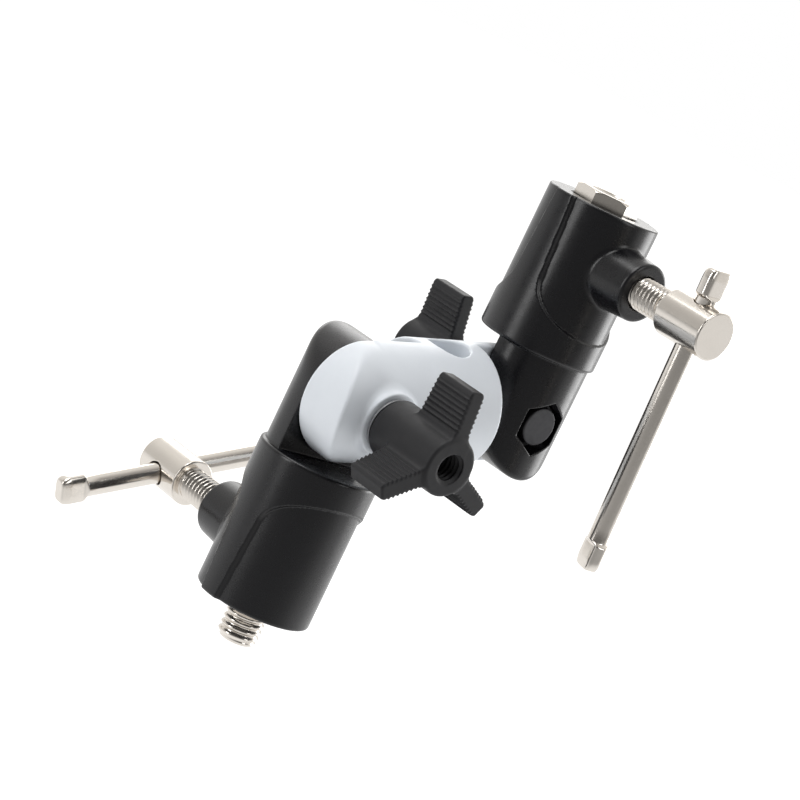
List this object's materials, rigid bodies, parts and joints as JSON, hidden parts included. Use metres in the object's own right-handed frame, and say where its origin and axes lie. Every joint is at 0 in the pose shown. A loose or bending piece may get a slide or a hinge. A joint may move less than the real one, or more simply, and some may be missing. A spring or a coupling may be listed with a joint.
{
  "type": "umbrella swivel bracket",
  "caption": "Double swivel bracket for a light stand: clamp sockets half-lap jointed to a drilled centre link that holds an umbrella shaft, with lock knobs and sliding-bar clamp screws.",
  "frame": {"origin": "centre of the lower socket's mouth, where a light stand's stud would enter", "axes": "+Z along the lower socket's bore towards the link; the pivot bolts and clamp screws lie along Y; the link leans out towards +X"},
  "size_m": [0.0942, 0.0961, 0.1245],
  "materials": {
    "socket_plastic": "satin black moulding",
    "link_plastic": "cool white semi-gloss moulding",
    "knob_plastic": "charcoal, fine matt",
    "nickel": "bright nickel plating",
    "zinc_steel": "zinc plated steel",
    "black_steel": "blackened steel",
    "brass": "plain brass",
    "nylon": "natural nylon"
  },
  "bodies": {
    "lower_socket": {"lower_socket": "socket_plastic", "lower_boss_insert": "nickel", "lower_pivot_bolt": "black_steel", "lower_spigot": "nickel"},
    "link": {"centre_link": "link_plastic", "lower_friction_washer": "nylon", "upper_friction_washer": "nylon"},
    "upper_socket": {"upper_socket": "socket_plastic", "upper_boss_insert": "nickel", "upper_pivot_bolt": "black_steel", "upper_spigot": "nickel"},
    "lower_clamp_pad": {"lower_clamp_pad": "brass"},
    "lower_clamp_screw": {"lower_clamp_screw": "nickel"},
    "lower_clamp_bar": {"lower_clamp_bar": "nickel"},
    "lower_knob_washer": {"lower_knob_washer": "zinc_steel"},
    "lower_lock_knob": {"lower_lock_knob": "knob_plastic", "lower_knob_insert": "brass"},
    "upper_clamp_pad": {"upper_clamp_pad": "brass"},
    "upper_clamp_screw": {"upper_clamp_screw": "nickel"},
    "upper_clamp_bar": {"upper_clamp_bar": "nickel"},
    "upper_knob_washer": {"upper_knob_washer": "zinc_steel"},
    "upper_lock_knob": {"upper_lock_knob": "knob_plastic", "upper_knob_insert": "brass"}
  },
  "joints": [
    {"name": "lower_pivot", "type": "hinge", "parent": "lower_socket", "child": "link", "pos_m": [0, 0, 0.0518], "axis": [0, -1, 0], "range_deg": [-10, 165]},
    {"name": "upper_pivot", "type": "hinge", "parent": "link", "child": "upper_socket", "pos_m": [0.0474, 0, 0.06024], "axis": [0, -1, 0], "range_deg": [-165, 10]},
    {"name": "lower_clamp_travel", "type": "slide", "parent": "lower_socket", "child": "lower_clamp_pad", "axis": [0, 1, 0], "range_m": [-0.0026, 0.0013]},
    {"name": "lower_clamp_turn", "type": "hinge", "parent": "lower_clamp_pad", "child": "lower_clamp_screw", "pos_m": [0, 0.0427, 0.013], "axis": [0, 1, 0], "range_deg": [-720, 360]},
    {"name": "lower_bar_slide", "type": "slide", "parent": "lower_clamp_screw", "child": "lower_clamp_bar", "axis": [0.9304, 0, 0.3665], "range_m": [-0.0292, 0.0178]},
    {"name": "lower_knob_travel", "type": "slide", "parent": "lower_socket", "child": "lower_knob_washer", "axis": [0, -1, 0], "range_m": [0, 0.00065]},
    {"name": "lower_knob_turn", "type": "hinge", "parent": "lower_knob_washer", "child": "lower_lock_knob", "pos_m": [0, -0.027, 0.0518], "axis": [0, -1, 0], "range_deg": [0, 180]},
    {"name": "upper_clamp_travel", "type": "slide", "parent": "upper_socket", "child": "upper_clamp_pad", "axis": [0, -1, 0], "range_m": [0, 0.0038]},
    {"name": "upper_clamp_turn", "type": "hinge", "parent": "upper_clamp_pad", "child": "upper_clamp_screw", "pos_m": [0.0474, -0.0402, 0.09904], "axis": [0, -1, 0], "range_deg": [0, 1080]},
    {"name": "upper_bar_slide", "type": "slide", "parent": "upper_clamp_screw", "child": "upper_clamp_bar", "axis": [0.0541, 0, -0.9985], "range_m": [-0.047, 0]},
    {"name": "upper_knob_travel", "type": "slide", "parent": "upper_socket", "child": "upper_knob_washer", "axis": [0, 1, 0], "range_m": [0, 0.00065]},
    {"name": "upper_knob_turn", "type": "hinge", "parent": "upper_knob_washer", "child": "upper_lock_knob", "pos_m": [0.0474, 0.027, 0.06024], "axis": [0, 1, 0], "range_deg": [0, 180]}
  ],
  "couplings": [
    {"joint": "lower_clamp_travel", "follows": "lower_clamp_turn", "m_per_rad": 0.00019894},
    {"joint": "lower_knob_travel", "follows": "lower_knob_turn", "m_per_rad": 0.00019894},
    {"joint": "upper_clamp_travel", "follows": "upper_clamp_turn", "m_per_rad": 0.00019894},
    {"joint": "upper_knob_travel", "follows": "upper_knob_turn", "m_per_rad": 0.00019894}
  ]
}
